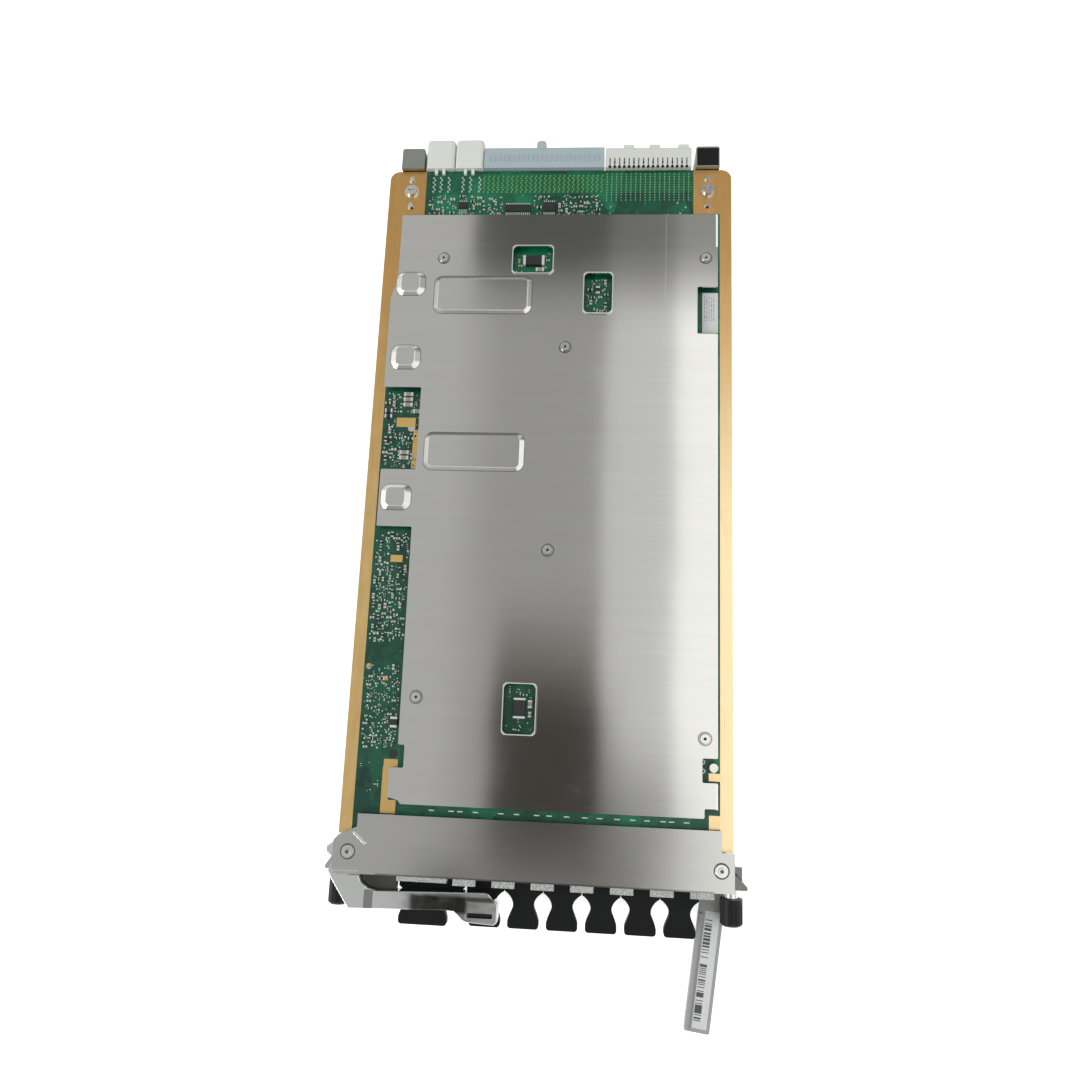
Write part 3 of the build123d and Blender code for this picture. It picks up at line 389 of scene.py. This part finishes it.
def cover_marks(x, y, z):
    """Painted highlights on the window rims, the tabs' bends and the pads' crests; painted shade in rings
    round the screws and at the feet of the pads.
    """
    # Painted highlights on the window rims
    rim = 0.4
    rims = greatest([
        x.within(middle_x - wide / 2 - rim, middle_x + wide / 2 + rim, 0.02)
        * y.within(middle_y - deep / 2 - rim, middle_y + deep / 2 + rim, 0.02)
        for middle_x, middle_y, wide, deep in WINDOWS
    ]) * z.rise(COVER_TOP + 0.05, COVER_TOP + 0.1)
    # Painted highlights on the bends of the tabs
    spans = greatest([y.within(248.3, 263.0), y.within(151.6, 179.5), y.within(28.3, 37.6)])
    tabs = x.rise(65.35, 65.45) * spans
    # Painted shade in rings round the screw heads
    rings = greatest([
        ((x - middle_x) * (x - middle_x) + (y - middle_y) * (y - middle_y)).within(4.4, 6.8, 0.5)
        for middle_x, middle_y in SCREWS
    ])
    # Painted shade at the feet of the pads, painted highlights on their crests
    foot_corner, crest_corner, crest, width = 3.4, 1.8, 0.4, 0.2
    feet = greatest([outline(x, y, middle_x, middle_y, wide, deep, foot_corner, width)
                     for middle_x, middle_y, wide, deep, _, _ in PADS])
    crests = greatest([outline(x, y, middle_x, middle_y, wide + crest, deep + crest, crest_corner, width)
                       for middle_x, middle_y, _, _, wide, deep in PADS])
    # The scratch line at x 45.3 is painted as a bright highlight
    scratch = x.within(45.25, 45.4, 0.05) * y.within(225.0, 262.0, 2.0)
    dark = (rings * 0.6).most(feet * 0.5)
    return dark, greatest([rims * 0.45, tabs, scratch * 0.25, crests * 0.3])


def panel_marks(x, y, z):
    """Painted shade on the ear at the right and along the fold at the front edge, a painted highlight on
    the lanced bridge.
    """
    # Painted shade on the ear
    ear = x.rise(72.2, 72.5)
    # Painted shade along the fold
    fold = y.within(-0.6, 0.5, 0.25) * x.rise(-57.5, -56.5) * (1 - x.rise(64.5, 65.5)) * z.rise(1.0, 1.4)
    # Painted highlight on the lanced bridge
    bridge = z.rise(2.75, 2.95)
    return (ear * 0.75).most(fold * 0.55), bridge * 0.35


steel = brushed("cover_steel", rgb(206, 206, 203), 0.075, 0.2, cover_marks)
panel_steel = brushed("panel_steel", rgb(192, 192, 189), 0.12, 0.3, panel_marks)
cage_steel = brushed("cage_steel", rgb(196, 196, 190), 0.28)
plated = solid("plated_metal", rgb(214, 214, 212), 0.14, 1.0, 0.06, 0.1)
painted = solid("painted_lever", rgb(158, 160, 158), 0.42, 0.0, 0.05, 0.12, 0.25)
black = solid("black_plastic", rgb(14, 16, 15), 0.38, 0.0, 0.2, 0.15, 0.3, 0.25)
rubber = solid("black_rubber", rgb(14, 18, 18), 0.55, 0.0, 0.2, 0.2, 0.25, 0.18)
cast = solid("cast_metal", rgb(168, 171, 165), 0.36, 1.0, 0.08, 0.2, 0.5)
white = solid("white_plastic", rgb(219, 223, 217), 0.45, 0.0, 0.03, 0.08, 0.3)
pale_blue = solid("pale_blue_plastic", rgb(168, 184, 189), 0.42, 0.0, 0.04, 0.08, 0.3)
ivory = solid("ivory_plastic", rgb(213, 217, 210), 0.45, 0.0, 0.03, 0.08, 0.3)
aluminium = brushed("sink_aluminium", rgb(205, 207, 209), 0.34)
package = solid("package_plastic", rgb(32, 33, 34), 0.5, 0.0, 0.15, 0.2, 0.15)
solder = solid("solder", rgb(226, 228, 226), 0.24, 1.0, 0.08, 0.2, 0.3)
ceramic = solid("ceramic", rgb(150, 142, 130), 0.4, 0.0, 0.1, 0.1, 0.2)
tin = solid("tin", rgb(206, 214, 206), 0.4, 0.3, 0.1, 0.1, 0.3)
gold = solid("gold_pad", rgb(226, 190, 122), 0.34, 1.0, 0.07, 0.1, 0.5)
# A lighter copy of the gold: painted light for the pads at the right
lit_gold = solid("lit_gold_pad", rgb(250, 222, 166), 0.32, 1.0, 0.04, 0.1, 0.5)
# Dark grey used only as painted shade round and on the flange pins
shade_grey = solid("shade_grey_metal", rgb(104, 104, 100), 0.4, 1.0, 0.1, 0.2, 0.3)
pale_pin = solid("pale_pin", rgb(172, 200, 176), 0.4, 0.3, 0.12, 0.1, 0.3)
ink = solid("white_ink", rgb(216, 226, 218), 0.6, 0.0, 0.08)
pin_metal = solid("pin_metal", rgb(150, 186, 146), 0.4, 0.3, 0.2, 0.1, 0.3)
board_green = board_material()
lever_label = label_material("lever_label", lever_bars)
board_label = label_material("board_label", board_bars)


def lever_material():
    """Polished plate metal, with painted shade on the web behind the bar, in the groove across the bar
    and in the grip pocket, and a painted dark reflection along the bar.
    """
    made, graph, shader = material("polished_metal")
    x, y, z = graph.place()
    cloud = graph.noise(graph.vector(x, y, z), 0.12, 3)
    # Painted shade on the web behind the bar
    web = x.within(-64.4, -49.0, 0.6) * y.within(-6.4, -0.4, 0.5) * (1 - z.rise(-1.6, -1.2))
    shade = web * (0.96 - x.rise(-62.0, -50.0) * 0.04)
    run = graph.noise(graph.vector(x * 0.5, y * 0.06, z), 1.0, 3)
    bar = z.rise(-1.2, -0.8)
    # Painted dark reflection along the bar and its end
    dark_reflection = x.within(-43.8, -23.0, 1.2) * y.within(-12.0, -6.2, 0.8) * (run * 0.3 + 0.8)
    dark_reflection = dark_reflection.most(x.within(-24.0, -12.8, 1.0) * y.within(-7.8, -6.2, 0.5) * 0.8)
    shade = shade.most((dark_reflection * bar).least(0.95))
    # Painted shade in the groove across the bar
    band = x.within(-60.9, -57.6, 0.1) * y.within(-12.4, -5.6, 0.1) * bar
    shade = shade.most(band * 0.6)
    # Painted shade in the grip pocket
    pit = x.within(-23.0, -13.4, 0.3) * y.within(-13.7, -11.3, 0.2) * (1 - z.rise(0.1, 0.2))
    shade = shade.most(pit * 0.97)
    bright = graph.blend(cloud, rgb(208, 211, 209), rgb(222, 225, 223))
    graph.feed(shader.inputs["Base Color"], graph.blend(shade, bright, rgb(62, 62, 54)))
    shader.inputs["Metallic"].default_value = 1.0
    graph.feed(shader.inputs["Roughness"], 0.07 + cloud * 0.06 + web * 0.2)
    wave = graph.noise(graph.vector(x * 0.08, y * 0.2, z * 0.2), 1.0, 1)
    graph.feed(shader.inputs["Normal"], graph.bump(wave, 0.2, 0.0006))
    return made


polished = lever_material()


def clear_material():
    made, graph, shader = material("clear_plastic")
    x, y, z = graph.place()
    spot = graph.vector(x, y, z)
    haze = graph.noise(spot, 1.6, 3).rise(0.3, 0.7)
    graph.feed(shader.inputs["Base Color"], graph.blend(haze, rgb(186, 190, 188), rgb(250, 252, 250)))
    graph.feed(shader.inputs["Roughness"], 0.08 + haze * 0.2)
    shader.inputs["Transmission Weight"].default_value = 0.45
    shader.inputs["IOR"].default_value = 1.49
    graph.feed(shader.inputs["Normal"], graph.bump(graph.noise(spot, 1.1, 2), 0.5, 0.0004))
    return made


clear = clear_material()

looks = {
    "board": board_green, "panel_steel": panel_steel, "cover_steel": steel, "plated_metal": plated,
    "polished_metal": polished, "painted_lever": painted, "black_plastic": black,
    "black_rubber": rubber, "cage_steel": cage_steel, "clear_plastic": clear, "cast_metal": cast,
    "white_plastic": white, "pale_blue_plastic": pale_blue, "ivory_plastic": ivory,
    "sink_aluminium": aluminium, "package_plastic": package,
}
for part in frame["record"]["subparts"]:
    node = frame["nodes"][part["node"]]
    node.data.materials.clear()
    node.data.materials.append(looks[part["material_slot"]])


# New pieces

class Piece:
    """A mesh built from boxes and discs in board millimetres."""

    def __init__(self, name):
        self.name = name
        self.mesh = bmesh.new()

    def box(self, x0, x1, y0, y1, z0, z1, round_by=0.0, turn=None):
        made = bmesh.ops.create_cube(self.mesh, size=1.0)["verts"]
        size = Vector(((x1 - x0) / 1000, (y1 - y0) / 1000, (z1 - z0) / 1000))
        bmesh.ops.scale(self.mesh, vec=size, verts=made)
        if turn:
            bmesh.ops.rotate(self.mesh, cent=(0, 0, 0), matrix=Matrix.Rotation(turn, 3, "Z"), verts=made)
        middle = at((x0 + x1) / 2, (y0 + y1) / 2, (z0 + z1) / 2)
        bmesh.ops.translate(self.mesh, vec=middle, verts=made)
        if round_by:
            edges = list({e for v in made for e in v.link_edges})
            bmesh.ops.bevel(self.mesh, geom=edges, offset=round_by / 1000, segments=2, profile=0.5,
                            affect="EDGES", material=-1)

    def disc(self, x, y, z0, z1, radius, sides=10, tip=None):
        made = bmesh.ops.create_cone(self.mesh, cap_ends=True, segments=sides, radius1=radius / 1000,
                                     radius2=(radius if tip is None else tip) / 1000,
                                     depth=(z1 - z0) / 1000)["verts"]
        bmesh.ops.translate(self.mesh, vec=at(x, y, (z0 + z1) / 2), verts=made)

    def done(self, look, body="board_unit"):
        bmesh.ops.recalc_face_normals(self.mesh, faces=self.mesh.faces)
        data = bpy.data.meshes.new(self.name)
        self.mesh.to_mesh(data)
        self.mesh.free()
        data.materials.append(look)
        made = bpy.data.objects.new(self.name, data)
        bpy.context.scene.collection.objects.link(made)
        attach(made, body)


# Contact tails of the backplane connectors, in their columns
tails = Piece("signal_contact_tails")
for column in range(26):
    for row in range(8):
        side = 0.22 if row % 2 else -0.22
        tails.disc(-31.6 + column * BACKPLANE_PITCH + side, 275.6 + row * 1.06, 0, 0.35, 0.34, 6, 0.2)
tails.done(pin_metal)

tails = Piece("wafer_contact_tails")
for column in range(18):
    for row in range(11):
        tails.disc(20.6 + column * BACKPLANE_PITCH, 271.6 + row * 1.2, 0, 0.35, 0.28, 6, 0.18)
tails.done(pale_pin)

tails = Piece("power_contact_tails")
for x in (-53.0, -50.0, -46.6, -40.6, -37.4, -33.4):
    for row in range(7):
        side = 0.3 if row % 2 else -0.3
        tails.disc(x + side, 275.8 + row * 1.08, 0, 0.5, 0.44, 8, 0.28)
tails.done(tin)

# Painted shade in the slots between the wafers: thin dark films, each second one with a small square of
# painted shade behind it
slots = Piece("wafer_slots")
for column in range(17):
    x = 21.6 + column * BACKPLANE_PITCH
    slots.box(x - 0.6, x + 0.6, 285.4, 286.4, HOUSING_TOP, HOUSING_TOP + 0.04)
    if column % 2:
        slots.box(x - 0.35, x + 0.35, 287.6, 288.3, HOUSING_TOP, HOUSING_TOP + 0.04)
slots.done(black)

# Small parts on the exposed strips of the board
rng = random.Random(11)
ends = Piece("part_ends")
ceramics = Piece("ceramic_parts")
chips = Piece("chip_parts")
dots = Piece("test_points")
taken = []


def free(x, y, reach):
    """Whether nothing placed so far comes within reach of the point."""
    return all(abs(x - a) > reach + c or abs(y - b) > reach + c for a, b, c in taken)


def passive(x, y, length, width, height, look, along=False, share=0.22):
    """Resistor or capacitor with a metal end at each side, lying across or along the board."""
    half_x, half_y = (width / 2, length / 2) if along else (length / 2, width / 2)
    body = ceramics if look == "ceramic" else chips
    end = length * share
    if along:
        body.box(x - half_x, x + half_x, y - half_y + end, y + half_y - end, 0, height)
        ends.box(x - half_x, x + half_x, y - half_y, y - half_y + end, 0, height)
        ends.box(x - half_x, x + half_x, y + half_y - end, y + half_y, 0, height)
    else:
        body.box(x - half_x + end, x + half_x - end, y - half_y, y + half_y, 0, height)
        ends.box(x - half_x, x - half_x + end, y - half_y, y + half_y, 0, height)
        ends.box(x + half_x - end, x + half_x, y - half_y, y + half_y, 0, height)
    taken.append((x, y, max(length, width) / 2))


for y in (184.5, 182.3, 180.1):
    passive(-57.4, y, 3.7, 1.5, 1.2, "ceramic")
for y in (160.0, 157.8):
    passive(-57.6, y, 3.7, 1.5, 1.2, "ceramic")
passive(-53.6, 177.4, 3.2, 1.6, 1.0, "ceramic")
passive(-65.2, 177.6, 3.0, 1.5, 0.9, "chip")
passive(-65.2, 175.3, 3.0, 1.5, 0.9, "chip")
passive(-8.8, 243.4, 8.8, 4.2, 1.8, "chip", False, 0.12)
passive(-6.2, 239.5, 3.4, 1.7, 1.2, "ceramic")
passive(-6.9, 61.4, 7.5, 4.4, 1.8, "chip", True, 0.1)
passive(-3.0, 63.0, 2.9, 1.6, 1.1, "ceramic", True)
passive(-3.0, 59.2, 2.0, 1.2, 0.9, "ceramic", True)
passive(18.0, 230.6, 3.0, 1.6, 1.1, "chip", True)
passive(15.2, 225.2, 2.0, 1.2, 0.8, "ceramic", True)
passive(-54.2, 54.4, 4.0, 2.6, 1.4, "chip", True)

# Chips with rows of legs along the rear edge
for x, y, wide, deep in ((-16.6, 267.6, 10.6, 3.0), (-3.4, 268.2, 5.0, 4.0), (-40.0, 269.0, 3.6, 2.8)):
    chips.box(x - wide / 2, x + wide / 2, y - deep / 2, y + deep / 2, 0.1, 1.3, round_by=0.15)
    legs = int(wide / 0.8)
    for leg in range(legs):
        leg_x = x - wide / 2 + (leg + 0.5) * wide / legs
        ends.box(leg_x - 0.2, leg_x + 0.2, y - deep / 2 - 1.2, y - deep / 2 + 0.1, 0, 0.3)
        ends.box(leg_x - 0.2, leg_x + 0.2, y + deep / 2 - 0.1, y + deep / 2 + 1.2, 0, 0.3)
    taken.append((x, y, max(wide, deep) / 2 + 0.6))

# Kept clear: the dark patch, the gold pads, the hole and the standoff's end
taken.extend([
    (-65.0, 34.0, 3.6), (-57.9, 172.8, 4.0), (-57.8, 117.0, 2.8), (-53.8, 42.8, 2.0), (-53.1, 161.6, 1.6),
])
# Fields of small parts: x and y limits, tries for parts, tries for points, size of the points
fields = [
    (-66.6, -52.6, 153.4, 185.8, 130, 260, 0.9), (-66.6, -52.8, 84.0, 127.6, 170, 330, 0.9),
    (-66.6, -52.8, 44.0, 76.0, 46, 260, 0.7), (-66.4, -57.6, 28.0, 40.0, 4, 12, 0.7),
    (-55.4, 19.0, 263.6, 274.4, 150, 260, 0.9), (20.0, 55.6, 264.0, 270.8, 0, 10, 0.7),
    (-16.6, -1.4, 237.2, 248.0, 22, 34, 0.7), (13.0, 23.2, 219.8, 236.0, 30, 44, 0.7),
    (-12.2, -1.4, 52.6, 69.6, 24, 36, 0.7),
]
for x0, x1, y0, y1, part_tries, point_tries, scale in fields:
    for _ in range(part_tries):
        x, y = rng.uniform(x0 + 0.8, x1 - 0.8), rng.uniform(y0 + 0.8, y1 - 0.8)
        length = rng.choice((1.0, 1.0, 1.6, 1.6, 2.0))
        if free(x, y, length / 2):
            kind = rng.choice(("ceramic", "chip", "ceramic"))
            passive(x, y, length, length * 0.5, length * 0.4, kind, rng.random() < 0.5)
    for _ in range(point_tries):
        x, y = rng.uniform(x0 + 0.4, x1 - 0.4), rng.uniform(y0 + 0.4, y1 - 0.4)
        radius = rng.choice((0.24, 0.32, 0.36, 0.5)) * scale
        if free(x, y, radius):
            dots.disc(x, y, 0, FILM, radius, 8)
            taken.append((x, y, radius))
ends.done(tin)
ceramics.done(ceramic)
chips.done(package)
dots.done(tin)

# Bare gold pads and the earth strips at the cover's front corners
pads = Piece("gold_pads")
for x0, x1, y0, y1 in (
    (-57.1, -51.8, 38.0, 40.8), (-57.3, -54.6, 21.3, 38.0), (-54.6, -51.6, 21.3, 26.1),
    (-61.8, -54.0, 170.9, 174.8), (-54.6, -51.9, 153.6, 169.7), (-60.2, -55.4, 115.6, 118.4),
    (-60.8, -57.8, 69.8, 71.4),
):
    pads.box(x0, x1, y0, y1, 0, FILM)
pads.done(gold)
# The right pads take the lighter gold, which is painted light
pads = Piece("right_gold_pads")
pads.box(63.4, 67.5, 21.2, 26.0, 0, FILM)
pads.box(63.3, 67.5, 38.0, 40.8, 0, FILM)
pads.done(lit_gold)


# Small holes with their rings, and the stud in the cover's right notch
GOLD_HOLE = (-65.5, 75.0)
WHITE_HOLES = ((61.1, 44.7), (61.2, 41.5))
rings = Piece("hole_rings")
rings.disc(*GOLD_HOLE, 0, 0.08, 1.1, 16)
rings.done(gold)
rings = Piece("white_rings")
for x, y in WHITE_HOLES:
    rings.disc(x, y, 0, 0.08, 0.95, 14)
rings.done(ink)
holes = Piece("hole_shadows")
holes.disc(*GOLD_HOLE, 0.02, 0.1, 0.6, 16)
for x, y in WHITE_HOLES:
    holes.disc(x, y, 0.02, 0.1, 0.45, 14)
holes.disc(-53.8, 42.8, 0, 0.1, 1.6, 20)
holes.done(package)
studs = Piece("corner_studs")
studs.disc(65.0, 42.8, 0, 1.2, 2.0, 20, 1.6)
studs.done(solder)

# Painted shade: dark discs in the sockets of the cover screws
sockets = Piece("screw_sockets")
for x, y in SCREWS:
    sockets.disc(x, y, COVER_TOP + 0.2, COVER_TOP + 0.26, 0.6, 6)
sockets.done(package)

# Painted shade: dark discs round the feet of the two flange pins, and dark dots in the middle of their
# heads
pin_shade = Piece("pin_shade_discs")
for x in (-67.6, 67.6):
    pin_shade.disc(x, 7.6, FLANGE_TOP, FLANGE_TOP + 0.04, 2.85, 24)
    pin_shade.disc(x, 7.6, FLANGE_TOP + 1.0, FLANGE_TOP + 1.03, 0.7, 14)
pin_shade.done(shade_grey)

# Printed dashes along the front strip, and small crosses
marks = Piece("white_marks")
for x in (
    -38.0, -30.6, -27.4, -21.6, -12.2, -6.4, 1.0, 5.6, 12.0,
    18.6, 24.0, 30.4, 36.0, 41.2, 47.0, 50.0, 55.4,
):
    marks.box(x - 1.0, x + 1.0, 22.9, 23.3, 0, 0.05)
for x, y in ((-62.0, 49.0), (-60.0, 98.0), (-59.0, 88.0), (-40.6, 266.0), (10.0, 266.4)):
    marks.box(x - 1.6, x + 1.6, y - 0.1, y + 0.1, 0, 0.05)
    marks.box(x - 0.1, x + 0.1, y - 1.6, y - 0.2, 0, 0.05)
marks.done(ink)

# Labels: a blank one in the cover's notch and one with plain bars along the right lever
label = Piece("board_blank_label")
label.box(60.4, 66.7, 212.4, 229.8, 0, 0.12)
label.done(board_label)

label = Piece("lever_bar_label")
across, along = 0.7, -23.6
middle_x = LEVER[0] + across * math.cos(TILT) + along * math.sin(TILT)
middle_y = LEVER[1] - across * math.sin(TILT) + along * math.cos(TILT)
label.box(middle_x - 2.7, middle_x + 2.7, middle_y - 20.2, middle_y + 20.2, -13.6, -13.48, turn=-TILT)
label.done(lever_label, "right_lever")

# The right guide module's black cap
cap = Piece("right_module_cap")
cap.box(57.9, 66.8, 286.3, 294.3, HOUSING_TOP, HOUSING_TOP + 0.06)
cap.done(black)

# Camera, light and floor

scene = bpy.context.scene
lens = bpy.data.cameras.new("camera")
lens.sensor_width = 36
lens.lens = 28.33
camera = bpy.data.objects.new("camera", lens)
# The camera's upward and forward directions, and its place
up = Vector((-0.02559, 0.98142, 0.19018))
forward = Vector((-0.07322, 0.18789, -0.97946))
up = (up - up.dot(forward) * forward).normalized()
right = forward.cross(up).normalized()
turned = Matrix((right, up, -forward.normalized())).transposed().to_4x4()
camera.matrix_world = Matrix.Translation(Vector((0.02246, PANEL + 0.06369, TOP + 0.32397))) @ turned
scene.collection.objects.link(camera)
scene.camera = camera

world = bpy.data.worlds.new("studio")
world.use_nodes = True
scene.world = world
sky = Graph(world.node_tree)
way = sky.get("ShaderNodeTexCoord", "Generated")
split = sky.node("ShaderNodeSeparateXYZ", None, {"Vector": way})
wx, wy, wz = [Value(sky, split.outputs[i]) for i in range(3)]
# Overhead: a bright room with a shaded figure, a hand, a beam at the rear and a lamp at the right
u = wx / wz.most(0.05)
v = wy / wz.most(0.05)
near = wz.rise(0.5, 0.75)
ceiling = 0.63 - u.rise(-0.2, -0.12) * 0.17
ceiling = ceiling + u.rise(-0.004, 0.004) * 0.36 + u.rise(0.08, 0.088) * 0.6
beside = u.rise(-0.02, -0.005)
dusk = (1 - v.rise(-0.16, 0.0)) * beside * (1 - u.rise(0.02, 0.16))
fringe = v.rise(-0.14, -0.12) * (1 - v.rise(-0.03, 0.05)) * beside * (1 - u.rise(0.0, 0.045))
ceiling = ceiling * (1 - dusk * 0.6) * (1 - fringe * 0.35)
person = u.within(-0.122, 0.002, 0.006) * (1 - v.rise(-0.04, 0.16)) * v.rise(-0.26, -0.13)
hand = u.within(-0.2, -0.137, 0.012) * v.within(-0.27, -0.19, 0.02)
ceiling = ceiling * (1 - person * 0.84) * (1 - hand * 0.8)
beam = v.rise(0.46, 0.58) * u.rise(-0.185, -0.165) * (1 - v.rise(0.9, 1.1))
ceiling = ceiling * (1 - beam * 0.72)
# Low down: a bright window at the left, and the room's darker front and rear
low_left = (1 - wx.rise(-0.68, -0.55)) * (1 - abs(wy).rise(0.35, 0.5)) * wz.rise(0.0, 0.06)
low_right = wx.rise(0.62, 0.72) * wz.rise(0.05, 0.12) * (1 - abs(wy).rise(0.3, 0.42))
low_rear = wy.rise(0.3, 0.42) * (1 - abs(wx).rise(0.5, 0.62))
low_front = (1 - wy.rise(-0.42, -0.3)) * (1 - abs(wx).rise(0.5, 0.62))
horizon = 0.66 + low_left + low_right * 0.3 - low_rear * 0.42 - low_front * 0.25
level = near * ceiling + (1 - near) * horizon
# The surroundings are plain white for the eye, and near the horizon also for metal and glass
white_share = (sky.rays("Glossy", "Transmission") * (1 - wz.rise(0.25, 0.33))).most(sky.rays("Camera"))
level = level * (1 - white_share) + white_share * (1 + low_left * 0.5)
tint = sky.blend(person * near, (1, 0.995, 0.98, 1), (1, 0.9, 0.8, 1))
background = sky.node("ShaderNodeBackground", None, {"Color": tint, "Strength": level})
world_end = sky.node("ShaderNodeOutputWorld")
world.node_tree.links.new(background.outputs[0], world_end.inputs[0])

lamp = bpy.data.lights.new("softbox", "AREA")
lamp.shape = "RECTANGLE"
lamp.size = 1.2
lamp.size_y = 0.9
lamp.energy = 24
softbox = bpy.data.objects.new("softbox", lamp)
softbox.location = (-2.2, -1.5, 1.7)
softbox.rotation_euler = (Vector((0, 0, 0)) - softbox.location).to_track_quat("-Z", "Y").to_euler()
scene.collection.objects.link(softbox)

floor_mesh = bpy.data.meshes.new("floor")
grid = bmesh.new()
FLOOR_SIZE = 4.0
FLOOR_GAP = 0.0002
bmesh.ops.create_grid(grid, x_segments=1, y_segments=1, size=FLOOR_SIZE)
bmesh.ops.translate(grid, vec=(0, 0, -FLOOR_GAP), verts=grid.verts)
grid.to_mesh(floor_mesh)
grid.free()
floor = bpy.data.objects.new("floor", floor_mesh)
scene.collection.objects.link(floor)
paint = bpy.data.materials.new("floor")
paint.use_nodes = True
graph = Graph(paint.node_tree)
# The floor glows only for the eye and in metal and glass, and keeps the object's shadow
seen = graph.rays("Camera", "Glossy", "Transmission")
matt = graph.node("ShaderNodeBsdfDiffuse", None, {"Color": (0.82, 0.82, 0.81, 1)})
glow = graph.node("ShaderNodeEmission", None, {"Color": (1, 1, 1, 1), "Strength": seen * 0.75})
both = graph.node("ShaderNodeAddShader")
paint.node_tree.links.new(matt.outputs[0], both.inputs[0])
paint.node_tree.links.new(glow.outputs[0], both.inputs[1])
paint_end = graph.node("ShaderNodeOutputMaterial")
paint.node_tree.links.new(both.outputs[0], paint_end.inputs[0])
floor_mesh.materials.append(paint)

scene.view_settings.view_transform = "Standard"
